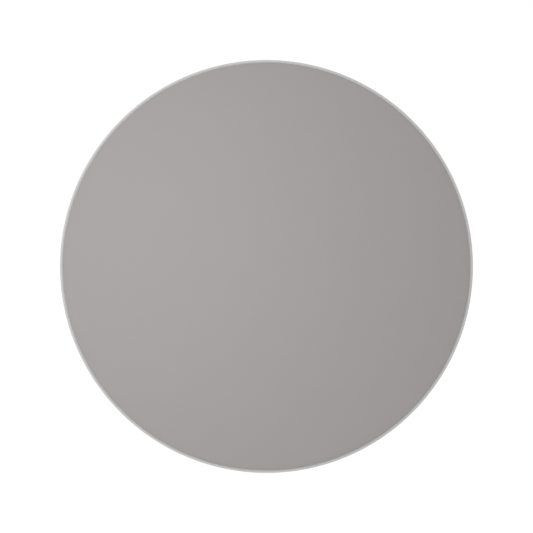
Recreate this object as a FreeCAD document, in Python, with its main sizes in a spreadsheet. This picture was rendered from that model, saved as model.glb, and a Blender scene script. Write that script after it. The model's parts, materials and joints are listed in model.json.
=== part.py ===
"""Round collapsible backdrop panel: two cloth discs held taut by a spring-steel hoop in a sewn edge binding.

The disc stands in the XZ plane with its centre at the origin, its front towards -Y and its hanging loop
at the top of the rear. The hoop is one band. It is cut into segments of equal angle, so that it can
curl into a three-turn coil, and it is open at its splice at the bottom.
"""

import FreeCAD
import Part
import os
import re

import Sketcher

SHEET = "Dimensions"

SIZES = {
    # disc and edge binding
    "disc_radius": 750.0,
    "binding_width": 9.6,
    "tape_thickness": 0.6,
    "cloth_thickness": 0.35,
    "cloth_gap": 0.1,
    "cloth_under_lip": 1.6,
    "lay_gap": 0.05,
    "flare_foot": 1.6,
    "flare_shoulder": 3.9,
    "flare_shift": 0.32,
    "edge_rounding": 1.8,
    # hoop
    "band_width": 7.0,
    "band_thickness": 1.0,
    "band_inset": 3.0,
    "segment_count": 45,
    "segment_gap": 0.3,
    # splice
    "sleeve_length": 50.0,
    "sleeve_wall": 0.4,
    "sleeve_clearance": 0.15,
    "rivet_from_cut": 12.0,
    "rivet_shank_radius": 1.2,
    "rivet_hole_radius": 1.3,
    "rivet_head_radius": 2.2,
    "rivet_head_height": 0.3,
    "rivet_seat_gap": 0.02,
    "wrap_length": 64.0,
    "wrap_wall": 0.35,
    "wrap_side_gap": 0.05,
    "wrap_head_gap": 0.45,
    "pocket_clearance": 0.15,
    # seam threads
    "thread_radius": 0.25,
    "thread_gap": 0.02,
    "seam_inset": 9.0,
    # hanging loop
    "webbing_width": 20.0,
    "webbing_thickness": 1.0,
    "tab_over_thread": 0.08,
    "tab_foot": 13.2,
    "tab_height": 4.8,
    "loop_drop": 0.3,
    "loop_length": 56.0,
    "eye_outer_radius": 5.0,
    "eye_neck_gap": 0.4,
    "eye_neck_drop": 6.0,
    "bartack_length": 16.0,
    "bartack_width": 1.2,
    "bartack_height": 0.5,
    "bartack_lift": 1.3,
    "bartack_spacing": 1.7,
    # care label
    "label_length": 60.0,
    "label_width": 25.0,
    "label_thickness": 0.25,
    "label_inset": 28.0,
    "label_gap": 0.02,
    "label_seam_inset": 2.0,
    "label_segment": 20,
}

ALIAS = re.compile(r"\b(" + "|".join(SIZES) + r")\b")

# Lengths that several pieces share, as formulas over the sheet
LIP_INSIDE = "(cloth_gap / 2 + cloth_thickness + lay_gap)"
LIP_OUTSIDE = f"({LIP_INSIDE} + tape_thickness)"
BAND_OUTER = "(disc_radius - band_inset)"
BAND_INNER = f"({BAND_OUTER} - band_thickness)"
SLEEVE_INSIDE = "(band_width / 2 + sleeve_clearance)"
SLEEVE_OUTSIDE = f"({SLEEVE_INSIDE} + sleeve_wall)"
SLEEVE_BORE_OUTER = f"({BAND_OUTER} + sleeve_clearance)"
SLEEVE_BORE_INNER = f"({BAND_INNER} - sleeve_clearance)"
SLEEVE_OUTER = f"({SLEEVE_BORE_OUTER} + sleeve_wall)"
SLEEVE_INNER = f"({SLEEVE_BORE_INNER} - sleeve_wall)"
WRAP_INSIDE = f"({SLEEVE_OUTSIDE} + wrap_side_gap)"
WRAP_OUTSIDE = f"({WRAP_INSIDE} + wrap_wall)"
POCKET_INSIDE = f"({WRAP_OUTSIDE} + pocket_clearance)"
POCKET_OUTSIDE = f"({POCKET_INSIDE} + tape_thickness)"
SEAM_RADIUS = "(disc_radius - seam_inset)"
THREAD_OFFSET = f"({LIP_OUTSIDE} + thread_gap + thread_radius)"
TAB_FRONT = f"({LIP_OUTSIDE} + thread_gap + 2 * thread_radius + tab_over_thread)"
TAB_REAR = f"({TAB_FRONT} + 2 * webbing_thickness)"
TAB_BOTTOM = "(disc_radius - tab_foot)"
LOOP_TOP = f"({TAB_BOTTOM} - loop_drop)"
LABEL_FRONT = "(cloth_gap / 2 + cloth_thickness + label_gap)"
LABEL_RADIUS = "(disc_radius - label_inset)"

BOTTOM = 180.0
AXIS_Y = FreeCAD.Vector(0, 1, 0)


def formula(text):
    """The expression for a formula over the sheet's aliases."""
    return ALIAS.sub(rf"{SHEET}.\1", text)


def value(doc, text):
    """A formula's number, in mm or degrees."""
    return float(doc.getObject(SHEET).evalExpression(text))


def make_sheet(doc):
    sheet = doc.addObject("Spreadsheet::Sheet", SHEET)
    for row, (alias, number) in enumerate(SIZES.items(), start=1):
        sheet.set(f"A{row}", alias)
        sheet.set(f"B{row}", str(number))
        sheet.setAlias(f"B{row}", alias)
    doc.recompute()


def turned(degrees):
    """A turn about the disc's axis, clockwise seen from the front."""
    return FreeCAD.Rotation(AXIS_Y, degrees)


def new_body(doc, label):
    body = doc.addObject("PartDesign::Body", label)
    body.Label = label
    return body


def new_sketch(body, plane):
    sketch = body.newObject("Sketcher::SketchObject", "Sketch")
    origin_plane = [f for f in body.Origin.OriginFeatures if f.Role == plane][0]
    sketch.AttachmentSupport = (origin_plane, [""])
    sketch.MapMode = "FlatFace"
    return sketch


def pin_point(sketch, geometry, end, across, up):
    """Ties one point of a sketch to two formulas."""
    for kind, text in (("DistanceX", across), ("DistanceY", up)):
        now = value(sketch.Document, text)
        index = sketch.addConstraint(Sketcher.Constraint(kind, geometry, end, now))
        sketch.setExpression(f"Constraints[{index}]", formula(text))


def add_outline(sketch, corners):
    """A closed outline of straight edges. Each corner is two formulas."""
    doc = sketch.Document
    points = [FreeCAD.Vector(value(doc, a), value(doc, b), 0) for a, b in corners]
    first = sketch.GeometryCount
    count = len(points)
    for i in range(count):
        sketch.addGeometry(Part.LineSegment(points[i], points[(i + 1) % count]))
    for i in range(count):
        following = first + (i + 1) % count
        sketch.addConstraint(Sketcher.Constraint("Coincident", first + i, 2, following, 1))
        pin_point(sketch, first + i, 1, *corners[i])


def rectangle(low_across, high_across, low_up, high_up):
    return [
        (low_across, low_up),
        (high_across, low_up),
        (high_across, high_up),
        (low_across, high_up),
    ]


def mirrored(outline):
    """The same corners on the front side, in reverse order."""
    return [(f"-{across}", up) for across, up in reversed(outline)]


def revolve(body, sketch, axis, sweep):
    feature = body.newObject("PartDesign::Revolution", "Revolution")
    feature.Profile = sketch
    feature.ReferenceAxis = (sketch, [axis])
    feature.Midplane = True
    feature.setExpression("Angle", formula(sweep))
    return feature


def pad(body, sketch, length, both_sides=False, reverse=False):
    feature = body.newObject("PartDesign::Pad", "Pad")
    feature.Profile = sketch
    feature.Midplane = both_sides
    feature.Reversed = reverse
    feature.setExpression("Length", formula(length))
    return feature


def radial_cylinder(doc, name, radius, low, high, degrees):
    """A cylinder that stands along the disc's radius at an angle."""
    tool = doc.addObject("Part::Cylinder", name)
    tool.setExpression("Radius", formula(radius))
    tool.setExpression("Height", formula(f"{high} - {low}"))
    spin = turned(degrees)
    tool.Placement = FreeCAD.Placement(spin.multVec(FreeCAD.Vector(0, 0, value(doc, low))), spin)
    return tool


def cut(doc, label, base, tool):
    result = doc.addObject("Part::Cut", f"{label}_cut")
    result.Base = base
    result.Tool = tool
    result.Label = label
    return result


def rivet_angle(doc, side):
    """The angle of one band end's rivet. Side is 1 for the right-hand end and -1 for the left."""
    arc = value(doc, f"rivet_from_cut / {BAND_OUTER} * 180 / pi")
    return BOTTOM - side * arc


def hoop_segment(doc, label, index):
    """One arc of the steel band. The index counts clockwise from the top, seen from the front."""
    end = abs(index) == (SIZES["segment_count"] - 1) // 2
    body = new_body(doc, f"{label}_arc" if end else label)
    sketch = new_sketch(body, "YZ_Plane")
    half = "band_width / 2"
    add_outline(sketch, rectangle(f"-{half}", half, BAND_INNER, BAND_OUTER))
    revolve(body, sketch, "H_Axis", f"360 / segment_count - segment_gap / {BAND_OUTER} * 180 / pi")
    body.Placement = FreeCAD.Placement(FreeCAD.Vector(), turned(1))
    body.setExpression(".Placement.Rotation.Angle", formula(f"{index} * 360 / segment_count"))
    if not end:
        return body
    side = 1 if index > 0 else -1
    hole = radial_cylinder(
        doc,
        f"{label}_hole",
        "rivet_hole_radius",
        SLEEVE_BORE_INNER,
        SLEEVE_BORE_OUTER,
        rivet_angle(doc, side),
    )
    return cut(doc, label, body, hole)


def cloth(doc, label, front):
    """A flat disc of cloth. Its edge is caught between the binding's lips."""
    body = new_body(doc, label)
    sketch = new_sketch(body, "XZ_Plane")
    radius = "disc_radius - binding_width + cloth_under_lip"
    start = value(doc, radius)
    sketch.addGeometry(Part.Circle(FreeCAD.Vector(), FreeCAD.Vector(0, 0, 1), start))
    sketch.addConstraint(Sketcher.Constraint("Coincident", 0, 3, -1, 1))
    index = sketch.addConstraint(Sketcher.Constraint("Radius", 0, start))
    sketch.setExpression(f"Constraints[{index}]", formula(radius))
    pad(body, sketch, "cloth_thickness", reverse=not front)
    side = -1 if front else 1
    body.setExpression(".Placement.Base.y", formula(f"{side} * cloth_gap / 2"))
    return body


def edge_binding(doc, label):
    """The tape, folded over the hoop: two flat lips at the cloth and a pocket that the band lies in."""
    outside = [
        (LIP_OUTSIDE, "disc_radius - binding_width"),
        (LIP_OUTSIDE, "disc_radius - binding_width + flare_foot - flare_shift"),
        (POCKET_OUTSIDE, "disc_radius - binding_width + flare_shoulder - flare_shift"),
        (POCKET_OUTSIDE, "disc_radius"),
    ]
    inside = [
        (LIP_INSIDE, "disc_radius - binding_width"),
        (LIP_INSIDE, "disc_radius - binding_width + flare_foot"),
        (POCKET_INSIDE, "disc_radius - binding_width + flare_shoulder"),
        (POCKET_INSIDE, "disc_radius - tape_thickness"),
    ]
    body = new_body(doc, label)
    sketch = new_sketch(body, "YZ_Plane")
    add_outline(sketch, outside + mirrored(outside) + [(f"-{a}", up) for a, up in inside] + inside[::-1])
    ring = revolve(body, sketch, "H_Axis", "360")
    doc.recompute()
    rounded = ring
    for radius, rounding in (
        ("disc_radius", "edge_rounding"),
        ("disc_radius - tape_thickness", "edge_rounding - tape_thickness"),
    ):
        rounded = round_rim(body, rounded, radius, rounding)
    return body


def round_rim(body, solid, radius, rounding):
    """Rounds the two circular edges that have this radius."""
    wanted = value(body.Document, radius)
    names = []
    for i, edge in enumerate(solid.Shape.Edges, start=1):
        circle = isinstance(edge.Curve, Part.Circle)
        if circle and abs(edge.Curve.Radius - wanted) < 1e-4 and abs(edge.Curve.Axis.y) > 0.9:
            names.append(f"Edge{i}")
    feature = body.newObject("PartDesign::Fillet", "Fillet")
    feature.Base = (solid, names)
    feature.setExpression("Radius", formula(rounding))
    body.Document.recompute()
    return feature


def seam_thread(doc, label, side):
    """One thread of the seam round the lips, as a plain ring."""
    ring = doc.addObject("Part::Torus", label)
    ring.Label = label
    ring.setExpression("Radius1", formula(SEAM_RADIUS))
    ring.setExpression("Radius2", formula("thread_radius"))
    ring.Placement = FreeCAD.Placement(FreeCAD.Vector(), FreeCAD.Rotation(FreeCAD.Vector(1, 0, 0), 90))
    ring.setExpression(".Placement.Base.y", formula(f"{side} * {THREAD_OFFSET}"))
    return ring


def tube_about_band(doc, label, inner, outer, length):
    """A flat tube bent round the band at the splice. Inner and outer are half depth, low and high radius."""
    body = new_body(doc, label)
    sketch = new_sketch(body, "YZ_Plane")
    for half, low, high in (outer, inner):
        add_outline(sketch, rectangle(f"-{half}", half, low, high))
    revolve(body, sketch, "H_Axis", f"{length} / {BAND_OUTER} * 180 / pi")
    body.Placement = FreeCAD.Placement(FreeCAD.Vector(), turned(BOTTOM))
    return body


def splice_sleeve(doc, label):
    bore = (SLEEVE_INSIDE, SLEEVE_BORE_INNER, SLEEVE_BORE_OUTER)
    skin = (SLEEVE_OUTSIDE, SLEEVE_INNER, SLEEVE_OUTER)
    tube = tube_about_band(doc, f"{label}_tube", bore, skin, "sleeve_length")
    holes = doc.addObject("Part::MultiFuse", f"{label}_holes")
    holes.Shapes = [
        radial_cylinder(
            doc,
            f"{label}_hole",
            "rivet_hole_radius",
            f"({SLEEVE_INNER} - 1)",
            f"({SLEEVE_OUTER} + 1)",
            rivet_angle(doc, side),
        )
        for side in (1, -1)
    ]
    return cut(doc, label, tube, holes)


def splice_wrap(doc, label):
    inner = (WRAP_INSIDE, f"({SLEEVE_INNER} - wrap_head_gap)", f"({SLEEVE_OUTER} + wrap_head_gap)")
    outer = (
        WRAP_OUTSIDE,
        f"({SLEEVE_INNER} - wrap_head_gap - wrap_wall)",
        f"({SLEEVE_OUTER} + wrap_head_gap + wrap_wall)",
    )
    return tube_about_band(doc, label, inner, outer, "wrap_length")


def splice_rivet(doc, label, side):
    """A two-headed rivet through the sleeve and one end of the band."""
    body = new_body(doc, label)
    sketch = new_sketch(body, "XZ_Plane")
    seats = (f"({SLEEVE_INNER} - rivet_seat_gap)", f"({SLEEVE_OUTER} + rivet_seat_gap)")
    foot = f"({seats[0]} - rivet_head_height)"
    top = f"({seats[1]} + rivet_head_height)"
    add_outline(
        sketch,
        [
            ("0", foot),
            ("rivet_head_radius", foot),
            ("rivet_head_radius", seats[0]),
            ("rivet_shank_radius", seats[0]),
            ("rivet_shank_radius", seats[1]),
            ("rivet_head_radius", seats[1]),
            ("rivet_head_radius", top),
            ("0", top),
        ],
    )
    revolve(body, sketch, "V_Axis", "360")
    body.Placement = FreeCAD.Placement(FreeCAD.Vector(), turned(rivet_angle(doc, side)))
    return body


def hang_loop_tab(doc, label):
    """The two ends of the webbing, one on the other, sewn to the rear lip."""
    body = new_body(doc, label)
    sketch = new_sketch(body, "YZ_Plane")
    add_outline(sketch, rectangle(TAB_FRONT, TAB_REAR, TAB_BOTTOM, f"({TAB_BOTTOM} + tab_height)"))
    pad(body, sketch, "webbing_width", both_sides=True)
    return body


def add_teardrop(sketch, neck_front, neck_rear, top, radius, centre_across, centre_up):
    """A closed teardrop: a flat neck at the top, two straight sides and an arc at the foot."""
    doc = sketch.Document
    front = FreeCAD.Vector(value(doc, neck_front), value(doc, top), 0)
    rear = FreeCAD.Vector(value(doc, neck_rear), value(doc, top), 0)
    centre = FreeCAD.Vector(value(doc, centre_across), value(doc, centre_up), 0)
    size = value(doc, radius)
    foot_front = centre + FreeCAD.Vector(-size, 0, 0)
    foot_rear = centre + FreeCAD.Vector(size, 0, 0)
    foot = centre + FreeCAD.Vector(0, -size, 0)
    first = sketch.GeometryCount
    neck, side, bend, far_side = range(first, first + 4)
    sketch.addGeometry(Part.LineSegment(rear, front))
    sketch.addGeometry(Part.LineSegment(front, foot_front))
    sketch.addGeometry(Part.Arc(foot_front, foot, foot_rear))
    sketch.addGeometry(Part.LineSegment(foot_rear, rear))
    sketch.addConstraint(Sketcher.Constraint("Coincident", neck, 2, side, 1))
    sketch.addConstraint(Sketcher.Constraint("Tangent", side, 2, bend, 1))
    sketch.addConstraint(Sketcher.Constraint("Tangent", bend, 2, far_side, 1))
    sketch.addConstraint(Sketcher.Constraint("Coincident", far_side, 2, neck, 1))
    pin_point(sketch, neck, 1, neck_rear, top)
    pin_point(sketch, neck, 2, neck_front, top)
    pin_point(sketch, bend, 3, centre_across, centre_up)
    index = sketch.addConstraint(Sketcher.Constraint("Radius", bend, size))
    sketch.setExpression(f"Constraints[{index}]", formula(radius))


def hang_loop(doc, label):
    """The free part of the webbing: a loop that hangs from its sewn end and opens into an eye."""
    body = new_body(doc, label)
    sketch = new_sketch(body, "YZ_Plane")
    across = f"({TAB_FRONT} + eye_outer_radius)"
    up = f"({LOOP_TOP} - loop_length + eye_outer_radius)"
    add_teardrop(sketch, TAB_FRONT, TAB_REAR, LOOP_TOP, "eye_outer_radius", across, up)
    middle = f"({TAB_FRONT} + webbing_thickness)"
    add_teardrop(
        sketch,
        middle,
        f"({middle} + eye_neck_gap)",
        f"({LOOP_TOP} - eye_neck_drop)",
        "(eye_outer_radius - webbing_thickness)",
        across,
        up,
    )
    pad(body, sketch, "webbing_width", both_sides=True)
    return body


def hang_loop_bartacks(doc, label):
    """Two dense bars of thread across the webbing's sewn ends."""
    bars = []
    for i in range(2):
        bar = doc.addObject("Part::Box", f"{label}_bar")
        bar.setExpression("Length", formula("bartack_length"))
        bar.setExpression("Width", formula("bartack_height"))
        bar.setExpression("Height", formula("bartack_width"))
        bar.setExpression(".Placement.Base.x", formula("-bartack_length / 2"))
        bar.setExpression(".Placement.Base.y", formula(f"{TAB_REAR} + thread_gap"))
        lift = f"{TAB_BOTTOM} + bartack_lift + {i} * bartack_spacing"
        bar.setExpression(".Placement.Base.z", formula(lift))
        bars.append(bar)
    pair = doc.addObject("Part::Compound", f"{label}_pair")
    pair.Links = bars
    pair.Label = label
    return pair


def label_angle(doc):
    return value(doc, "-label_segment * 360 / segment_count")


def care_label(doc, label):
    """A blank cloth label, flat on the rear cloth near the rim."""
    body = new_body(doc, label)
    sketch = new_sketch(body, "XZ_Plane")
    add_outline(sketch, label_outline("0"))
    pad(body, sketch, "label_thickness", reverse=True)
    place_on_rear(doc, body, LABEL_FRONT)
    return body


def label_stitching(doc, label):
    """One thread round the label, as a plain rectangular frame."""
    body = new_body(doc, label)
    sketch = new_sketch(body, "XZ_Plane")
    add_outline(sketch, label_outline("label_seam_inset"))
    add_outline(sketch, label_outline("(label_seam_inset + 2 * thread_radius)"))
    pad(body, sketch, "2 * thread_radius", reverse=True)
    place_on_rear(doc, body, f"({LABEL_FRONT} + label_thickness + thread_gap)")
    return body


def label_outline(inset):
    half_length = f"(label_length / 2 - {inset})"
    half_width = f"(label_width / 2 - {inset})"
    low, high = f"({LABEL_RADIUS} - {half_width})", f"({LABEL_RADIUS} + {half_width})"
    return rectangle(f"-{half_length}", half_length, low, high)


def place_on_rear(doc, body, offset):
    depth = value(doc, offset)
    body.Placement = FreeCAD.Placement(FreeCAD.Vector(0, depth, 0), turned(label_angle(doc)))


def hoop(doc):
    """Every segment of the band: one at the top, then as many down each side."""
    segments = [hoop_segment(doc, "hoop_top", 0)]
    per_side = (SIZES["segment_count"] - 1) // 2
    for number in range(1, per_side + 1):
        segments.append(hoop_segment(doc, f"hoop_right_{number:02d}", number))
        segments.append(hoop_segment(doc, f"hoop_left_{number:02d}", -number))
    return segments


def build(doc):
    make_sheet(doc)
    pieces = hoop(doc)
    pieces += [
        cloth(doc, "front_cloth", front=True),
        cloth(doc, "rear_cloth", front=False),
        edge_binding(doc, "edge_binding"),
        seam_thread(doc, "front_stitching", -1),
        seam_thread(doc, "rear_stitching", 1),
        splice_sleeve(doc, "splice_sleeve"),
        splice_rivet(doc, "splice_rivet_right", 1),
        splice_rivet(doc, "splice_rivet_left", -1),
        splice_wrap(doc, "splice_wrap"),
        hang_loop_tab(doc, "hang_loop_tab"),
        hang_loop(doc, "hang_loop"),
        hang_loop_bartacks(doc, "hang_loop_bartacks"),
        care_label(doc, "care_label"),
        label_stitching(doc, "label_stitching"),
    ]
    doc.recompute()
    return pieces


def check(doc, pieces):
    for item in doc.Objects:
        if "Invalid" in item.State or "Error" in item.State:
            raise RuntimeError(f"{item.Label} failed: {item.State}")
    for piece in pieces:
        if piece.Shape.isNull() or not piece.Shape.isValid():
            raise RuntimeError(f"{piece.Label} has no valid shape")


def export(pieces):
    os.makedirs("parts", exist_ok=True)
    for piece in pieces:
        piece.Shape.exportStep(os.path.join("parts", f"{piece.Label}.step"))
        print(f"{piece.Label}: {len(piece.Shape.Solids)} solid, {piece.Shape.Volume:.1f} mm3")


document = FreeCAD.newDocument("collapsible_backdrop_panel")
all_pieces = build(document)
check(document, all_pieces)
export(all_pieces)
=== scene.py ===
"""Round collapsible backdrop panel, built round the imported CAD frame.

The disc stands in the XZ plane and faces -Y. Angles run clockwise from its top, seen from the front.
Whatever runs round the rim is cut at the middle of each hoop segment and bends across the hinge between.
The cloths are cut at the hinges instead, into slices that ride on one segment each and flatten towards it
as the hoop coils.
"""

import json
import math

import bpy
import numpy as np
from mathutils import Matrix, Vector


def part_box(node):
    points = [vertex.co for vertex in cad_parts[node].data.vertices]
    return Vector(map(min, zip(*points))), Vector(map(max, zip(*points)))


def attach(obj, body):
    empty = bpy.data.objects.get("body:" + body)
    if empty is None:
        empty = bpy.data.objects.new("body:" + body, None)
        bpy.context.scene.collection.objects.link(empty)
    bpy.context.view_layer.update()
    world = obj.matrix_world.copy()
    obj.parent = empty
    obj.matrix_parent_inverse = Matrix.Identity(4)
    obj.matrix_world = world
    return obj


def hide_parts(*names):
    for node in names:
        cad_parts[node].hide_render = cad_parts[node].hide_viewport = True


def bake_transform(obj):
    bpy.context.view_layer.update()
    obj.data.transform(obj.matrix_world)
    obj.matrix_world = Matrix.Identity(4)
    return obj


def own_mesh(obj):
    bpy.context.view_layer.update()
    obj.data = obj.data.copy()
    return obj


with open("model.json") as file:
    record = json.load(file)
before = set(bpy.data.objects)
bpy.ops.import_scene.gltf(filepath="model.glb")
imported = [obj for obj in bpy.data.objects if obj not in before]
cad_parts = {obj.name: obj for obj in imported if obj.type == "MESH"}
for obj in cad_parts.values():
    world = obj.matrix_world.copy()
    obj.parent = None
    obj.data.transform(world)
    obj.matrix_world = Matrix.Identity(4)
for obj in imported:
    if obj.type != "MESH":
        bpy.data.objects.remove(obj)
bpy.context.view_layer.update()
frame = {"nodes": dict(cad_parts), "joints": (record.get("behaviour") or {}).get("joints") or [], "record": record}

MM = 0.001
SHARP_EDGE = math.radians(50)

# Sizes that the frame gives
JOINTS = {joint["name"]: joint for joint in frame["joints"]}
PER_SIDE = sum(1 for name in JOINTS if name.startswith("fold_left_"))
SEGMENT = math.tau / (2 * PER_SIDE + 1)
BAND_RADIUS = Vector(JOINTS["collapse"]["pos_m"]).length
DISC_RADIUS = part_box("edge_binding")[1].x
CLOTH_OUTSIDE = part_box("rear_cloth")[1].y
CLOTH_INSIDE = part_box("rear_cloth")[0].y
POCKET_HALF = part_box("edge_binding")[1].y

# Edge binding: a tape folded over the band
TAPE = 0.6 * MM
LIP_RADIUS = DISC_RADIUS - 9.6 * MM
LIP_DEPTH = CLOTH_OUTSIDE + 0.05 * MM + TAPE / 2
CLOTH_RADIUS = LIP_RADIUS + 4.2 * MM
TONGUE = 1.6 * MM
TONGUE_SHARE = 0.8
SEAM_RADIUS = DISC_RADIUS - 9 * MM
STITCHES = 26
BINDING_STEPS = 2 * STITCHES

# Steel band
BAND_WIDTH = 7 * MM
BAND_THICKNESS = 1 * MM
BAND_STEPS = 24

THREAD = 0.25 * MM

# Where the rim's pieces end, as angles. The steel band is cut at the bottom, with a gap between its ends.
# The binding and its seam are cut nine stitches to the right of that, so that they cover the splice, which
# belongs to the last segment on the left.
HALF_GAP = 0.15 * MM
BAND_CUT = math.pi - HALF_GAP / BAND_RADIUS
BAND_ENDS = (-BAND_CUT, BAND_CUT)
COVER_STITCHES = 9
COVER = COVER_STITCHES * SEGMENT / STITCHES
BINDING_ENDS = (-math.pi - COVER, math.pi - COVER)


def body_name(index):
    """The body of a hoop segment. The index counts clockwise from the top."""
    if index == 0:
        return "panel_top"
    side = "right" if index > 0 else "left"
    return f"hoop_{side}_{abs(index):02d}"


def hoop_node(index):
    return "hoop_top" if index == 0 else body_name(index)


def label(index):
    return "top" if index == 0 else body_name(index)[5:]


def polar(angle, radius, depth=0.0):
    """The point at an angle and radius of the disc."""
    return Vector((radius * math.sin(angle), depth, radius * math.cos(angle)))


def add_mesh(name, points, faces, material, uvs=None, normals=None):
    """A mesh object. Each point may have a UV, in metres, and each face corner a normal."""
    mesh = bpy.data.meshes.new(name)
    mesh.from_pydata([tuple(p) for p in points], [], faces)
    mesh.polygons.foreach_set("use_smooth", [True] * len(mesh.polygons))
    if uvs is not None:
        layer = mesh.uv_layers.new(name="metres")
        corners = np.empty(len(mesh.loops), int)
        mesh.loops.foreach_get("vertex_index", corners)
        layer.data.foreach_set("uv", np.asarray(uvs, float)[corners].ravel())
    mesh.materials.append(material)
    mesh.update()
    if normals is None:
        mesh.set_sharp_from_angle(angle=SHARP_EDGE)
    else:
        mesh.normals_split_custom_set(normals)
    piece = bpy.data.objects.new(name, mesh)
    bpy.context.scene.collection.objects.link(piece)
    return piece


# Cross-sections and sweeps


def rounded(corners, steps=5):
    """A path through corners, each (across, up, radius), with an arc at every one that has a radius."""
    path = []
    for i, (across, up, radius) in enumerate(corners):
        here = np.array([across, up])
        if radius == 0 or i in (0, len(corners) - 1):
            path.append(here)
            continue
        back = np.array(corners[i - 1][:2]) - here
        ahead = np.array(corners[i + 1][:2]) - here
        back /= np.linalg.norm(back)
        ahead /= np.linalg.norm(ahead)
        half = math.acos(np.clip(back @ ahead, -1, 1)) / 2
        middle = (back + ahead) / np.linalg.norm(back + ahead)
        centre = here + middle * radius / math.sin(half)
        first = here + back * radius / math.tan(half) - centre
        last = here + ahead * radius / math.tan(half) - centre
        turn = math.atan2(first[0] * last[1] - first[1] * last[0], first @ last)
        for step in range(steps + 1):
            angle = turn * step / steps
            c, s = math.cos(angle), math.sin(angle)
            turned = [c * first[0] - s * first[1], s * first[0] + c * first[1]]
            path.append(centre + np.array(turned))
    return np.array(path)


def both_sides(path, thickness):
    """The two faces of a strip whose middle is the path, and the length along it."""
    ahead = np.gradient(path, axis=0)
    ahead /= np.linalg.norm(ahead, axis=1)[:, None]
    aside = np.column_stack([-ahead[:, 1], ahead[:, 0]]) * thickness / 2
    run = np.concatenate([[0], np.cumsum(np.linalg.norm(np.diff(path, axis=0), axis=1))])
    return path + aside, path - aside, run


def thinner(section, share):
    """The two faces of a strip, moved towards each other."""
    middle = (section + section[::-1]) / 2
    return middle + (section - middle) * share


def strip_faces(columns, count):
    """Faces of a closed strip. A column is one face's points and then the other's, reversed."""
    faces = []
    ring = 2 * count
    for column in range(columns - 1):
        here, ahead = column * ring, (column + 1) * ring
        for i in range(ring):
            j = (i + 1) % ring
            faces.append((here + i, ahead + i, ahead + j, here + j))
    end = (columns - 1) * ring
    for i in range(count - 1):
        faces.append((i, i + 1, ring - 2 - i, ring - 1 - i))
        faces.append((end + i + 1, end + i, end + ring - 1 - i, end + ring - 2 - i))
    return faces


def sweep_strip(name, path, thickness, low, high, steps, material, shape=None, tongue=0.0):
    """A strip with a (depth, radius) path as its section, swept round the disc between two angles.

    A tongue at the high end lies inside the next strip, and closes the gap that opens there in the coil.
    """
    outer, inner, run = both_sides(path, thickness)
    section = np.vstack([outer, inner[::-1]])
    along = np.concatenate([run, run[::-1]])
    slim = thinner(section, TONGUE_SHARE)
    columns = [(low + (high - low) * step / steps, section) for step in range(steps + 1)]
    if tongue:
        columns += [(high, slim), (high + tongue / DISC_RADIUS, slim)]
    points, uvs = [], []
    for angle, outline in columns:
        for (depth, radius), v in zip(outline, along):
            if shape:
                depth, radius = shape(angle, depth, radius)
            points.append(polar(angle, radius, depth))
            uvs.append((angle * DISC_RADIUS, v))
    return add_mesh(name, points, strip_faces(len(columns), len(path)), material, uvs)


THREAD_SIDES = 6


def tube(name, points, radius, material):
    """A thread: a round tube along the points, closed at its ends."""
    sides = THREAD_SIDES
    line = np.array([tuple(p) for p in points])
    ahead = np.gradient(line, axis=0)
    ahead /= np.linalg.norm(ahead, axis=1)[:, None]
    up = np.array([0.0, 1.0, 0.0])
    aside = np.cross(ahead, up)
    aside /= np.linalg.norm(aside, axis=1)[:, None]
    over = np.cross(aside, ahead)
    run = np.concatenate([[0], np.cumsum(np.linalg.norm(np.diff(line, axis=0), axis=1))])
    verts, uvs = [], []
    for i in range(len(line)):
        for k in range(sides):
            angle = math.tau * k / sides
            out = math.cos(angle) * aside[i] + math.sin(angle) * over[i]
            verts.append(line[i] + radius * out)
            uvs.append((run[i], radius * angle))
    faces = []
    for i in range(len(line) - 1):
        for k in range(sides):
            n = (k + 1) % sides
            faces.append((i * sides + k, (i + 1) * sides + k, (i + 1) * sides + n, i * sides + n))
    faces.append(tuple(range(sides)))
    faces.append(tuple(reversed(range(len(verts) - sides, len(verts)))))
    return add_mesh(name, verts, faces, material, uvs)


# Rim pieces: one across each hinge


def across_hinges(make, ends, *nodes):
    """Calls make(name, low, high) for each stretch of the rim, and bends its piece across the hinge there.

    A stretch runs from the middle of one segment to the middle of the next, and the last ones to the ends.
    """
    for index in range(-PER_SIDE, PER_SIDE):
        near, far = (index, index + 1) if index >= 0 else (index + 1, index)
        low = ends[0] if far == -PER_SIDE else index * SEGMENT
        high = ends[1] if far == PER_SIDE else (index + 1) * SEGMENT
        piece = make(label(far), low, high)
        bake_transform(piece)
        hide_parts(*(nodes or (hoop_node(near), hoop_node(far))))


def slow_wave(angle, size, *counts):
    """A smooth unevenness round the rim that meets itself after one turn."""
    return size * sum(math.sin(count * angle + count) for count in counts) / len(counts)


LIP_WIDTH = 3 * MM
STITCH_PULL = 0.10 * MM
LIP_WANDER = 0.35 * MM


def tape_shape(angle, depth, radius):
    """The tape as sewn: its lips wander a little, and every stitch pulls them in."""
    lip = np.clip((LIP_RADIUS + LIP_WIDTH - radius) / LIP_WIDTH, 0, 1)
    pull = 0.5 + 0.5 * math.cos(angle / SEGMENT * STITCHES * math.tau)
    depth -= math.copysign(STITCH_PULL * lip * pull, depth)
    radius += lip * slow_wave(angle, LIP_WANDER, 7, 19, 43)
    return depth, radius


def binding_path():
    """The tape's section: from the rear lip, round the rim, to the front lip."""
    side = POCKET_HALF - TAPE / 2
    top = DISC_RADIUS - TAPE / 2
    rear = [
        (LIP_DEPTH, LIP_RADIUS, 0),
        (LIP_DEPTH, LIP_RADIUS + 1.5 * MM, 0.9 * MM),
        (side, LIP_RADIUS + 3.9 * MM, 1.4 * MM),
        (side, top, 2.0 * MM),
    ]
    front = [(-depth, radius, bend) for depth, radius, bend in reversed(rear)]
    return rounded(rear + front)


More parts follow.
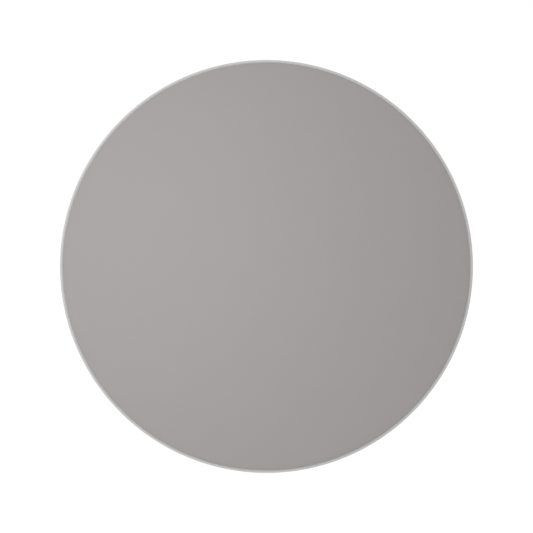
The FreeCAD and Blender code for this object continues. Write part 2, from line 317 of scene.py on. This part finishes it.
def make_binding(material):
    path = binding_path()

    def make(name, low, high):
        steps = max(2, round(BINDING_STEPS * (high - low) / SEGMENT))
        tongue = TONGUE if high < BINDING_ENDS[1] else 0.0
        piece = sweep_strip(
            f"binding_{name}", path, TAPE, low, high, steps, material, tape_shape, tongue
        )
        return piece

    across_hinges(make, BINDING_ENDS, "edge_binding")


def make_band(material):
    half = BAND_WIDTH / 2
    path = np.column_stack([np.linspace(-half, half, 5), np.full(5, BAND_RADIUS)])

    def make(name, low, high):
        tongue = TONGUE if high < BAND_ENDS[1] else 0.0
        piece = sweep_strip(
            f"steel_band_{name}", path, BAND_THICKNESS, low, high, BAND_STEPS, material, None, tongue
        )
        return piece

    across_hinges(make, BAND_ENDS)


# One stitch as (share of its length, height over the surface in mm). It starts at the bottom of its hole.
HOLE_DEPTH = -0.35
STITCH_SHAPE = ((0.0, HOLE_DEPTH), (0.12, 0.1), (0.3, 0.3), (0.7, 0.3), (0.88, 0.1))


def make_seam(name, side, node, material):
    """A row of stitches round the lips. Between two stitches the thread dives into the tape."""
    surface = LIP_DEPTH + TAPE / 2
    pitch = SEGMENT / STITCHES

    def make(place, low, high):
        first = math.ceil(low / pitch - 1e-6)
        last = math.floor(high / pitch + 1e-6)
        line = []
        for stitch in range(first, last):
            for share, lift in STITCH_SHAPE:
                depth = side * (surface + lift * MM)
                line.append(polar((stitch + share) * pitch, SEAM_RADIUS, depth))
        line.append(polar(last * pitch, SEAM_RADIUS, side * (surface + HOLE_DEPTH * MM)))
        piece = tube(f"{name}_{place}", line, THREAD, material)
        return piece

    across_hinges(make, BINDING_ENDS, node)


# Cloths

PUCKER_HEIGHT = 0.09 * MM
PUCKER_PLACE = LIP_RADIUS - 12 * MM
PUCKER_REACH = 14 * MM
PUCKER_START = 3 * MM
WAVE_STEP = 0.2 * MM


def cloth_wave(x, z):
    """How far the stretched cloth stands off its plane, in puckers near the seam."""
    radius = np.hypot(x, z)
    angle = np.arctan2(x, z)
    inside = np.clip((LIP_RADIUS - radius) / PUCKER_START, 0, 1)
    near = np.exp(-(((PUCKER_PLACE - radius) / PUCKER_REACH) ** 2)) * inside
    strength = 0.6 + 0.4 * np.sin(11 * angle + 1.3) * np.sin(5 * angle)
    puckers = PUCKER_HEIGHT * strength * (np.sin(151 * angle) + 0.6 * np.sin(233 * angle + 2.0))
    return near * puckers


def ring_of(index, radius, count):
    """Points of one slice at one radius, from its low edge to its high edge."""
    angles = (index - 0.5 + np.arange(count + 1) / count) * SEGMENT
    return np.column_stack([radius * np.sin(angles), radius * np.cos(angles)])


# The strip under each border between two slices: where it starts, and its section's (reach, depth) corners
FLAP_START = 14 * MM
FLAP_BACK, FLAP_REACH = -1 * MM, 3 * MM
FLAP_INSET = 0.12 * MM
FLAP_SECTION = (
    (FLAP_BACK, CLOTH_INSIDE + FLAP_INSET),
    (FLAP_REACH, CLOTH_INSIDE + FLAP_INSET),
    (FLAP_REACH, CLOTH_OUTSIDE - FLAP_INSET),
    (FLAP_BACK, CLOTH_OUTSIDE - FLAP_INSET),
)

# The rings of a slice, each (radius, number of faces across). The radii are scaled so that the last one is
# the slice's own.
RINGS = (
    (60, 4), (130, 4), (210, 8), (300, 8), (400, 16), (500, 16), (590, 32), (640, 32), (670, 32), (690, 32),
    (702, 32), (710, 32), (717, 32), (723, 32), (728, 32), (732, 32), (736, 32), (739, 32), (742, 32),
)


def slice_plan(index):
    """The flat points of one slice and the faces between them, as a fan and then rings."""
    points = [np.zeros((1, 2))]
    starts, counts = [0], [0]
    for radius, count in RINGS:
        starts.append(starts[-1] + len(points[-1]))
        counts.append(count)
        points.append(ring_of(index, radius * CLOTH_RADIUS / RINGS[-1][0], count))
    faces = [(0, starts[1] + i, starts[1] + i + 1) for i in range(counts[1])]
    for ring in range(1, len(RINGS)):
        a, b = starts[ring], starts[ring + 1]
        for i in range(counts[ring]):
            if counts[ring + 1] == counts[ring]:
                faces.append((a + i, b + i, b + i + 1, a + i + 1))
            else:
                faces.append((a + i, b + 2 * i, b + 2 * i + 1))
                faces.append((a + i, b + 2 * i + 1, a + i + 1))
                faces.append((a + i + 1, b + 2 * i + 1, b + 2 * i + 2))
    last = starts[-1]
    border = [0] + starts[1:] + [last + i for i in range(1, counts[-1])]
    border += [s + c for s, c in zip(reversed(starts[1:]), reversed(counts[1:]))]
    return np.vstack(points), faces, border


def wave_normals(flat, facing):
    """The normals of the waved cloth, on the side that faces front (-1) or rear (1)."""
    step = WAVE_STEP
    x, z = flat[:, 0], flat[:, 1]
    slope_x = (cloth_wave(x + step, z) - cloth_wave(x - step, z)) / (2 * step)
    slope_z = (cloth_wave(x, z + step) - cloth_wave(x, z - step)) / (2 * step)
    normals = np.column_stack([-slope_x * facing, np.full(len(flat), float(facing)), -slope_z * facing])
    return normals / np.linalg.norm(normals, axis=1)[:, None]


def add_flap(points, normals, faces, index, side):
    """A narrow strip from a slice into the next one, which hides the step between them in the coil."""
    angle = (index + 0.5) * SEGMENT
    along = np.array([math.sin(angle), math.cos(angle)])
    across = np.array([math.cos(angle), -math.sin(angle)])
    first = sum(len(block) for block in points)
    radii = [FLAP_START] + [radius * CLOTH_RADIUS / RINGS[-1][0] for radius, _ in RINGS[:-1]]
    for radius in radii:
        for reach, depth in FLAP_SECTION:
            x, z = radius * along + reach * across
            points.append(np.array([[x, depth * side + cloth_wave(x, z), z]]))
    count = len(FLAP_SECTION)
    for ring in range(len(radii) - 1):
        for i in range(count):
            j = (i + 1) % count
            face = [first + ring * count + i, first + ring * count + j]
            face += [first + (ring + 1) * count + j, first + (ring + 1) * count + i]
            faces.append(tuple(face if side > 0 else face[::-1]))
            facing = (0.0, -side, 0.0) if i == 0 else (0.0, side, 0.0) if i == 2 else None
            out = across if i == 1 else -across
            normals += [facing or (out[0], 0.0, out[1])] * 4
    last = first + (len(radii) - 1) * count
    for start, out in ((first, -along), (last, along)):
        ring = list(range(start, start + count))
        faces.append(tuple(ring if (side > 0) == (start != first) else ring[::-1]))
        normals += [(out[0], 0.0, out[1])] * count


def make_slice(name, index, side, material):
    """One slice of a cloth: two waved faces and a wall round them. Side is -1 for the front cloth."""
    flat, plan, border = slice_plan(index)
    count = len(flat)
    height = cloth_wave(flat[:, 0], flat[:, 1])
    layers = ((CLOTH_OUTSIDE * side, side), (CLOTH_INSIDE * side, -side))
    points, normals, faces = [], [], []
    for layer, (depth, facing) in enumerate(layers):
        points.append(np.column_stack([flat[:, 0], depth + height, flat[:, 1]]))
        shaded = wave_normals(flat, facing)
        for face in plan:
            ordered = face if facing > 0 else face[::-1]
            faces.append(tuple(v + layer * count for v in ordered))
            normals += [shaded[v] for v in ordered]
    ring = border if side > 0 else border[::-1]
    for i, here in enumerate(ring):
        after = ring[(i + 1) % len(ring)]
        faces.append((here, here + count, after + count, after))
        edge = flat[after] - flat[here]
        out = np.array([-edge[1], 0.0, edge[0]]) * side
        normals += [out / np.linalg.norm(out)] * 4
    if index < PER_SIDE:
        add_flap(points, normals, faces, index, side)
    points = np.vstack(points)
    return add_mesh(name, points, faces, material, points[:, (0, 2)], normals)


def make_cloth(node, side, material):
    """The slices of one cloth. Each keeps the share of its length that fits its neighbours in the coil."""
    for index in range(-PER_SIDE, PER_SIDE + 1):
        piece = make_slice(f"{node}_{label(index)}", index, side, material)
        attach(piece, body_name(index))
        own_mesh(piece)
        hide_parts(node)


# Hanging loop, behind the top of the rim

TAB_LOW, TAB_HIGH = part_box("hang_loop_tab")
LOOP_LOW, LOOP_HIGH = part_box("hang_loop")
WEBBING = (TAB_HIGH.y - TAB_LOW.y) / 2
STRAP_EDGE = 0.45 * MM
STRAP_STEP = 0.9 * MM
STRAP_SHARE = 0.96
STRAP_PLAY = 0.05 * MM
EYE_BEND = 12 * MM
NECK_BEND = 14 * MM
NECK_DROP = 9 * MM


def evenly(path, pitch):
    """The same path, with points at even steps."""
    run = np.concatenate([[0], np.cumsum(np.linalg.norm(np.diff(path, axis=0), axis=1))])
    places = np.linspace(0, run[-1], round(run[-1] / pitch) + 1)
    return np.column_stack([np.interp(places, run, path[:, i]) for i in range(path.shape[1])])


def strap_section(width, thickness):
    """The outline of a strap's cross-section, (across, depth), with round edges."""
    flat = width / 2 - STRAP_EDGE
    side = [(x, thickness / 2) for x in np.linspace(-flat, flat, 13)]
    turn = [math.radians(degrees) for degrees in (60, 30, 0, -30, -60)]
    edge = [(flat + STRAP_EDGE * math.cos(a), thickness / 2 * math.sin(a)) for a in turn]
    half = side + edge
    return half + [(-x, -depth) for x, depth in half]


def make_strap(name, path, section, material):
    """A strap whose (depth, height) path lies in the plane x = 0."""
    ahead = np.gradient(path, axis=0)
    ahead /= np.linalg.norm(ahead, axis=1)[:, None]
    run = np.concatenate([[0], np.cumsum(np.linalg.norm(np.diff(path, axis=0), axis=1))])
    points, uvs = [], []
    for (y, z), (along_y, along_z), length in zip(path, ahead, run):
        for across, depth in section:
            points.append((across, y - along_z * depth, z + along_y * depth))
            uvs.append((length, across))
    count = len(section)
    faces = [tuple(reversed(range(count))), tuple(range(len(points) - count, len(points)))]
    for ring in range(len(path) - 1):
        for i in range(count):
            a, b = ring * count + i, ring * count + (i + 1) % count
            faces.append((a, b, b + count, a + count))
    return add_mesh(name, points, faces, material, uvs)


def make_hanging_loop(material):
    """One length of webbing: both ends lie on the lip, and it hangs and opens into an eye."""
    front, rear = TAB_LOW.y + WEBBING / 2, TAB_HIGH.y - WEBBING / 2
    outside = LOOP_HIGH.y - WEBBING / 2
    foot = LOOP_LOW.z + WEBBING / 2
    bend = (outside - front) / 2
    corners = [
        (front, TAB_HIGH.z, 0),
        (front, foot, bend - STRAP_PLAY),
        (outside, foot, bend - STRAP_PLAY),
        (outside, foot + 2.2 * bend, EYE_BEND),
        (rear, TAB_LOW.z - NECK_DROP, NECK_BEND),
        (rear, TAB_HIGH.z, 0),
    ]
    path = evenly(rounded(corners, 12), STRAP_STEP)
    section = strap_section(TAB_HIGH.x - TAB_LOW.x, STRAP_SHARE * WEBBING)
    loop = make_strap("hanging_loop_webbing", path, section, material)
    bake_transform(loop)
    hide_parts("hang_loop_tab", "hang_loop")


BARTACK_TURNS = 52
BARTACK_THREAD = 0.17 * MM
BARTACK_DEPTH = 0.18 * MM
BARTACK_INSET = 0.3 * MM
BARTACK_HALF = 0.6 * MM
BARTACK_SWING = 0.42 * MM
BARTACK_UNEVEN = 0.05 * MM


def make_bartacks(material):
    """Two bars of close zigzag stitches across the webbing's sewn ends."""
    low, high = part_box("hang_loop_bartacks")
    depth = low.y + BARTACK_DEPTH
    width = high.x - low.x - 2 * BARTACK_INSET
    for name, middle in (("lower", low.z + BARTACK_HALF), ("upper", high.z - BARTACK_HALF)):
        line = []
        for i in range(BARTACK_TURNS + 1):
            x = low.x + BARTACK_INSET + width * i / BARTACK_TURNS
            y = depth + BARTACK_UNEVEN * math.sin(i * 2.4)
            line.append((x, y, middle + (-1) ** i * BARTACK_SWING))
        bar = tube(f"bartack_{name}", line, BARTACK_THREAD, material)
        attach(bar, "panel_top")
        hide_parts("hang_loop_bartacks")


# Care label, on the rear cloth

BODY_NODES = frame["record"]["behaviour"]["bodies"]
LABEL_BODY = next(body for body, nodes in BODY_NODES.items() if "care_label" in nodes)
LABEL_TURN = -int(LABEL_BODY[-2:]) * SEGMENT  # the body is hoop_left_NN, NN segments anticlockwise
LABEL_RADIUS = DISC_RADIUS - 28 * MM
LABEL_SIZE = (60 * MM, 25 * MM)
LABEL_THICKNESS = 0.25 * MM
LABEL_LIFT = 0.02 * MM
LABEL_CURL = 0.35 * MM
LABEL_GRID = (60, 26)
LABEL_SEAM_INSET = 2.2 * MM
LABEL_STITCH = 2.6 * MM
LABEL_STITCH_HEIGHT = 0.6
LABEL_THREAD = 0.16 * MM
LABEL_THREAD_END = -0.2 * MM


def label_point(across, up, depth):
    """A place on the label as a point of the disc. It follows the cloth."""
    out = polar(LABEL_TURN, LABEL_RADIUS + up)
    way = Vector((math.cos(LABEL_TURN), 0, -math.sin(LABEL_TURN)))
    flat = out + way * across
    return Vector((flat.x, depth + float(cloth_wave(flat.x, flat.z)), flat.z))


def label_lift(across, up):
    """The label's free border stands a little off the cloth, and most at the corners."""
    beyond_x = max(0, abs(across) - LABEL_SIZE[0] / 2 + LABEL_SEAM_INSET) / LABEL_SEAM_INSET
    beyond_z = max(0, abs(up) - LABEL_SIZE[1] / 2 + LABEL_SEAM_INSET) / LABEL_SEAM_INSET
    return LABEL_CURL * (beyond_x**2 + beyond_z**2) / 2 + LABEL_LIFT


def make_label(material):
    """A blank woven label with two faces and a wall."""
    columns, rows = LABEL_GRID
    grid = []
    for row in range(rows + 1):
        for column in range(columns + 1):
            across = LABEL_SIZE[0] * (column / columns - 0.5)
            grid.append((across, LABEL_SIZE[1] * (row / rows - 0.5)))
    points = []
    for top in (LABEL_THICKNESS, 0.0):
        points += [label_point(a, u, CLOTH_OUTSIDE + label_lift(a, u) + top) for a, u in grid]
    count, wide = len(grid), columns + 1
    faces = []
    for row in range(rows):
        for column in range(columns):
            a = row * wide + column
            faces.append((a, a + wide, a + wide + 1, a + 1))
            faces.append(tuple(count + v for v in (a, a + 1, a + wide + 1, a + wide)))
    border = list(range(wide)) + [wide * (row + 1) - 1 for row in range(1, rows + 1)]
    border += list(range(wide * rows + columns - 1, wide * rows - 1, -1))
    border += [wide * row for row in range(rows - 1, 0, -1)]
    for i, here in enumerate(border):
        after = border[(i + 1) % len(border)]
        faces.append((here, after, after + count, here + count))
    made = add_mesh("care_label_ribbon", points, faces, material, grid + grid)
    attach(made, LABEL_BODY)
    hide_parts("care_label")


def make_label_seam(material):
    """A row of stitches round the label, inside its border."""
    half_x, half_z = (size / 2 - LABEL_SEAM_INSET for size in LABEL_SIZE)
    corners = [(-half_x, -half_z), (half_x, -half_z), (half_x, half_z), (-half_x, half_z)]
    surface = CLOTH_OUTSIDE + LABEL_THICKNESS + LABEL_LIFT
    line = []
    for i, (x, z) in enumerate(corners):
        to_x, to_z = corners[(i + 1) % 4]
        stitches = round(math.hypot(to_x - x, to_z - z) / LABEL_STITCH)
        for stitch in range(stitches):
            for share, lift in STITCH_SHAPE:
                part = (stitch + share) / stitches
                depth = surface + lift * LABEL_STITCH_HEIGHT * MM
                line.append(label_point(x + (to_x - x) * part, z + (to_z - z) * part, depth))
    line.append(label_point(*corners[0], surface + LABEL_THREAD_END))
    seam = tube("care_label_seam", line, LABEL_THREAD, material)
    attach(seam, LABEL_BODY)
    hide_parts("label_stitching")


# Materials


class Graph:
    """Builds a material's nodes. Every input may be a number, a colour or another node's output."""

    def __init__(self, name, roughness=0.8, metallic=0.0):
        self.material = bpy.data.materials.new(name)
        self.material.use_nodes = True
        self.nodes = self.material.node_tree.nodes
        self.links = self.material.node_tree.links
        self.shader = self.nodes["Principled BSDF"]
        self.shader.inputs["Roughness"].default_value = roughness
        self.shader.inputs["Metallic"].default_value = metallic

    def put(self, socket, value):
        """Links a node's output to the socket, or sets the socket to a number or colour."""
        if isinstance(value, bpy.types.NodeSocket):
            self.links.new(value, socket)
        elif isinstance(value, tuple) and len(value) == 3 and socket.type == "RGBA":
            socket.default_value = (*value, 1)
        else:
            socket.default_value = value

    def node(self, kind, inputs=(), **settings):
        made = self.nodes.new(kind)
        for key, value in settings.items():
            setattr(made, key, value)
        for key, value in dict(inputs).items():
            self.put(made.inputs[key], value)
        return made

    def math(self, operation, *values):
        made = self.nodes.new("ShaderNodeMath")
        made.operation = operation
        for i, value in enumerate(values):
            self.put(made.inputs[i], value)
        return made.outputs[0]

    def metres(self):
        """The piece's UV map, whose unit is the metre: (vector, u, v)."""
        uv = self.node("ShaderNodeUVMap", uv_map="metres").outputs["UV"]
        split = self.node("ShaderNodeSeparateXYZ", {0: uv})
        return uv, split.outputs["X"], split.outputs["Y"]

    def noise(self, vector, scale, detail=2.0):
        made = self.node("ShaderNodeTexNoise", {"Vector": vector, "Scale": scale, "Detail": detail})
        return made.outputs["Fac"]

    def wave(self, coordinate, pitch):
        """Minus one to one and back, once every pitch."""
        return self.math("SINE", self.math("MULTIPLY", coordinate, math.tau / pitch))

    def ramp(self, value, low, high, dark, light):
        """A colour between dark and light as the value goes from low to high."""
        made = self.node("ShaderNodeMapRange", {0: value, 1: low, 2: high})
        mixed = self.node("ShaderNodeMix", {0: made.outputs[0]}, data_type="RGBA")
        self.put(mixed.inputs[6], dark)
        self.put(mixed.inputs[7], light)
        return mixed.outputs[2]

    def multiply(self, colour, share):
        """The colour, darker or lighter by a number."""
        mixed = self.node("ShaderNodeVectorMath", {0: colour}, operation="SCALE")
        self.put(mixed.inputs["Scale"], share)
        return mixed.outputs[0]

    def finish(self, colour, height=None, bump=0.0, distance=0.0, sheen=0.0):
        """Gives the shader its colour, and a bump where there is a height."""
        self.put(self.shader.inputs["Base Color"], colour)
        if sheen:
            self.shader.inputs["Sheen Weight"].default_value = sheen
            self.shader.inputs["Sheen Roughness"].default_value = 0.5
        if height is not None:
            inputs = {"Strength": bump, "Distance": distance, "Height": height}
            made = self.node("ShaderNodeBump", inputs)
            self.links.new(made.outputs[0], self.shader.inputs["Normal"])
        return self.material


def cloth_material(name, colour):
    """Plain matt weave: threads that pass over and under each other, with painted shade between them, and a tone
    that drifts a little.
    """
    graph = Graph(name, roughness=0.92)
    uv, u, v = graph.metres()
    pitch = 0.9 * MM
    weave = graph.math("MULTIPLY", graph.wave(u, pitch), graph.wave(v, pitch))
    slub = graph.noise(uv, 900.0, 1.0)
    height = graph.math("MULTIPLY_ADD", slub, 0.6, weave)
    drift = graph.noise(uv, 7.0, 3.0)
    fleck = graph.noise(uv, 260.0, 2.0)
    tone = graph.math("MULTIPLY_ADD", drift, 0.03, 0.985)
    tone = graph.math("MULTIPLY", tone, graph.math("MULTIPLY_ADD", fleck, 0.06, 0.97))
    # Painted shade: the cloth is darker where the weave sinks between its threads and lighter on their crests.
    tone = graph.math("MULTIPLY", tone, graph.math("MULTIPLY_ADD", height, 0.10, 0.968))
    return graph.finish(graph.multiply(colour, tone), height, bump=0.25, distance=0.12 * MM, sheen=0.05)


def tape_material(name, colour, width):
    """Ribbed tape of a width: fine ribs across it with painted shade between them, and patches rubbed pale where
    it turns round the rim.
    """
    graph = Graph(name, roughness=0.8)
    uv, u, v = graph.metres()
    rib_pitch, turn_place, turn_reach = 1.1 * MM, POCKET_HALF - 1 * MM, 1.6 * MM
    ribs = graph.wave(u, rib_pitch)
    height = graph.math("MULTIPLY_ADD", graph.noise(uv, 1200.0, 1.0), 0.5, ribs)
    from_middle = graph.math("ABSOLUTE", graph.math("SUBTRACT", v, width / 2))
    from_turn = graph.math("ABSOLUTE", graph.math("SUBTRACT", from_middle, turn_place))
    turn = graph.math("MAXIMUM", graph.math("MULTIPLY_ADD", from_turn, -1 / turn_reach, 1.0), 0.0)
    blotches = graph.noise(uv, 22.0, 3.0)
    patches = graph.node("ShaderNodeMapRange", {0: blotches, 1: 0.42, 2: 0.62}).outputs[0]
    rubbed = graph.math("MULTIPLY", turn, patches)
    tone = graph.math("MULTIPLY_ADD", graph.noise(uv, 40.0, 3.0), 0.08, 0.96)
    tone = graph.math("MULTIPLY", tone, graph.math("MULTIPLY_ADD", rubbed, 0.16, 1.0))
    # Painted shade: the tape is darker between its ribs and lighter on them.
    tone = graph.math("MULTIPLY", tone, graph.math("MULTIPLY_ADD", ribs, 0.06, 0.97))
    return graph.finish(graph.multiply(colour, tone), height, bump=0.5, distance=0.15 * MM, sheen=0.1)


def thread_material(name, colour):
    """Twisted thread, with painted shade in the grooves of its twist."""
    graph = Graph(name, roughness=0.6)
    _, u, v = graph.metres()
    twist_pitch = 0.5 * MM
    twist = graph.wave(graph.math("ADD", u, v), twist_pitch)
    # Painted shade: the thread is darker in the grooves of its twist and lighter on the ridges.
    tone = graph.math("MULTIPLY_ADD", twist, 0.1, 0.9)
    return graph.finish(graph.multiply(colour, tone), twist, bump=0.4, distance=0.05 * MM)


def steel_material(name, colour, roughness):
    """Bare or plated steel with a fine grain, laid by place and not by UV."""
    graph = Graph(name, roughness=roughness, metallic=1.0)
    coords = graph.node("ShaderNodeTexCoord").outputs["Object"]
    grain = graph.noise(coords, 900.0, 2.0)
    tone = graph.math("MULTIPLY_ADD", grain, 0.2, 0.9)
    return graph.finish(graph.multiply(colour, tone), grain, bump=0.1, distance=0.02 * MM)


def webbing_material(name, colour):
    """Polypropylene webbing: a herringbone of thick yarns, in lanes along the strap, with painted shade between
    the yarns.
    """
    graph = Graph(name, roughness=0.55)
    uv, u, v = graph.metres()
    lane, yarn_pitch = 2.2 * MM, 1.3 * MM
    zigzag = graph.math("PINGPONG", graph.math("ADD", v, 0.5), lane)
    yarns = graph.wave(graph.math("ADD", u, zigzag), yarn_pitch)
    lanes = graph.wave(v, lane)
    height = graph.math("MULTIPLY_ADD", lanes, 0.25, yarns)
    height = graph.math("MULTIPLY_ADD", graph.noise(uv, 2500.0, 1.0), 0.5, height)
    # Painted shade: the webbing is darker between its yarns and lighter on them.
    tone = graph.math("MULTIPLY_ADD", yarns, 0.22, 0.78)
    dust = graph.noise(uv, 300.0)
    tone = graph.math("MULTIPLY", tone, graph.math("MULTIPLY_ADD", dust, 0.3, 0.85))
    return graph.finish(graph.multiply(colour, tone), height, bump=0.6, distance=0.25 * MM)


def satin_material(name, colour):
    """Woven satin ribbon: fine lines along it with painted shade in them, smooth and a little glossy."""
    graph = Graph(name, roughness=0.42)
    uv, _, v = graph.metres()
    line_pitch = 0.35 * MM
    grain = graph.noise(uv, 1500.0, 1.0)
    lines = graph.math("MULTIPLY_ADD", grain, 0.6, graph.wave(v, line_pitch))
    # Painted shade: the ribbon is a little darker and lighter with its fine lines and grain.
    tone = graph.math("MULTIPLY_ADD", lines, 0.04, 0.94)
    drift = graph.noise(uv, 60.0)
    tone = graph.math("MULTIPLY", tone, graph.math("MULTIPLY_ADD", drift, 0.08, 0.96))
    return graph.finish(graph.multiply(colour, tone), lines, bump=0.2, distance=0.05 * MM, sheen=0.1)


def wrap_material(name, colour):
    """Cotton tape wound round: its weave, and a lap line every 12 mm, both with painted shade. It has no UV map.
    """
    graph = Graph(name, roughness=0.9)
    place = graph.node("ShaderNodeTexCoord").outputs["Object"]
    split = graph.node("ShaderNodeSeparateXYZ", {0: place})
    x, y, z = (split.outputs[axis] for axis in "XYZ")
    lap_pitch, weave_pitch = 12 * MM, 0.8 * MM
    laps = graph.wave(graph.math("ADD", x, graph.math("MULTIPLY", y, 0.7)), lap_pitch)
    lap_edge = graph.math("POWER", graph.math("MAXIMUM", laps, 0.0), 12.0)
    round_it = graph.wave(graph.math("ADD", y, z), weave_pitch)
    weave = graph.math("MULTIPLY", graph.wave(x, weave_pitch), round_it)
    height = graph.math("MULTIPLY_ADD", lap_edge, -1.5, weave)
    # Painted shade: the tape is darker between the weave's threads, and darker still along each lap edge's groove.
    tone = graph.math("MULTIPLY_ADD", weave, 0.15, 0.85)
    tone = graph.math("MULTIPLY_ADD", lap_edge, -0.4, tone)
    return graph.finish(graph.multiply(colour, tone), height, bump=0.5, distance=0.15 * MM)


def assign(piece, material):
    """Gives a CAD object a better material."""
    piece.data.materials.clear()
    piece.data.materials.append(material)


# Scene round the object

CAMERA_LENS = 85.0
SENSOR = 36.0
FRAME_WIDTH = 1.9375
FLOOR_LEVEL = -1.35
FLOOR_REACH = 20.0
FLOOR_GLOW = 0.05
KEY = {"place": (-0.55, -1.6, 0.2), "target": (-0.55, 0, 0.2), "size": 1.2, "power": 18.0}
REAR_FILL = {"place": (0.7, 1.9, 0.5), "target": (0.3, 0, 0), "size": 1.2, "power": 14.0}


def make_camera():
    """Square to the disc, and as far away as makes the view FRAME_WIDTH wide there."""
    camera = bpy.data.cameras.new("camera")
    camera.lens = CAMERA_LENS
    camera.sensor_width = SENSOR
    made = bpy.data.objects.new("camera", camera)
    distance = FRAME_WIDTH * CAMERA_LENS / SENSOR
    made.location = (0, -distance, 0)
    made.rotation_euler = (math.pi / 2, 0, 0)
    bpy.context.scene.collection.objects.link(made)
    bpy.context.scene.camera = made


def make_area_light(name, place, target, size, power):
    """A soft round light, aimed at a target."""
    light = bpy.data.lights.new(name, "AREA")
    light.shape = "DISK"
    light.size = size
    light.energy = power
    made = bpy.data.objects.new(name, light)
    made.location = place
    aim = Vector(target) - Vector(place)
    made.rotation_euler = aim.to_track_quat("-Z", "Y").to_euler()
    made.visible_camera = False
    bpy.context.scene.collection.objects.link(made)


def make_studio():
    """White surroundings, a pale floor, and two soft lights."""
    world = bpy.data.worlds.new("studio")
    world.use_nodes = True
    background = world.node_tree.nodes["Background"]
    background.inputs["Color"].default_value = (1, 1, 1, 1)
    background.inputs["Strength"].default_value = 1.0
    bpy.context.scene.world = world
    bpy.context.scene.view_settings.view_transform = "Standard"
    floor = Graph("floor_paint", roughness=0.9)
    shade = floor.noise(floor.node("ShaderNodeTexCoord").outputs["Object"], 3.0)
    paint = floor.finish(floor.ramp(shade, 0.0, 1.0, (0.96,) * 3, (0.98,) * 3))
    floor.shader.inputs["Specular IOR Level"].default_value = 0.0
    floor.shader.inputs["Emission Color"].default_value = (1, 1, 1, 1)
    floor.shader.inputs["Emission Strength"].default_value = FLOOR_GLOW
    signs = ((-1, -1), (1, -1), (1, 1), (-1, 1))
    corners = [(x * FLOOR_REACH, y * FLOOR_REACH, FLOOR_LEVEL) for x, y in signs]
    add_mesh("floor", corners, [(0, 1, 2, 3)], paint)
    make_area_light("key", **KEY)
    make_area_light("rear_fill", **REAR_FILL)


make_camera()
make_studio()

CLOTH_GREY = (0.236, 0.2245, 0.2205)
cloth_front = cloth_material("front_cloth_weave", CLOTH_GREY)
cloth_rear = cloth_material("rear_cloth_weave", CLOTH_GREY)
tape_width = both_sides(binding_path(), TAPE)[2][-1]
tape = tape_material("binding_ribbed_tape", (0.388, 0.388, 0.383), tape_width)
thread = thread_material("seam_thread_twist", (0.36, 0.36, 0.355))
webbing = webbing_material("webbing_herringbone", (0.16, 0.16, 0.165))
webbing_thread = thread_material("webbing_thread_twist", (0.10, 0.10, 0.10))
satin = satin_material("label_satin", (0.66, 0.66, 0.64))
cotton = wrap_material("wrap_cotton_tape", (0.06, 0.06, 0.065))
steel = steel_material("spring_steel_strip", (0.36, 0.37, 0.39), 0.32)
zinc = steel_material("zinc_plate", (0.62, 0.62, 0.63), 0.4)

make_cloth("front_cloth", -1, cloth_front)
make_cloth("rear_cloth", 1, cloth_rear)
make_binding(tape)
make_band(steel)
make_seam("front_seam", -1, "front_stitching", thread)
make_seam("rear_seam", 1, "rear_stitching", thread)
make_hanging_loop(webbing)
make_bartacks(webbing_thread)
make_label(satin)
make_label_seam(thread)

for node in ("splice_sleeve", "splice_rivet_right", "splice_rivet_left"):
    assign(frame["nodes"][node], zinc)
assign(frame["nodes"]["splice_wrap"], cotton)
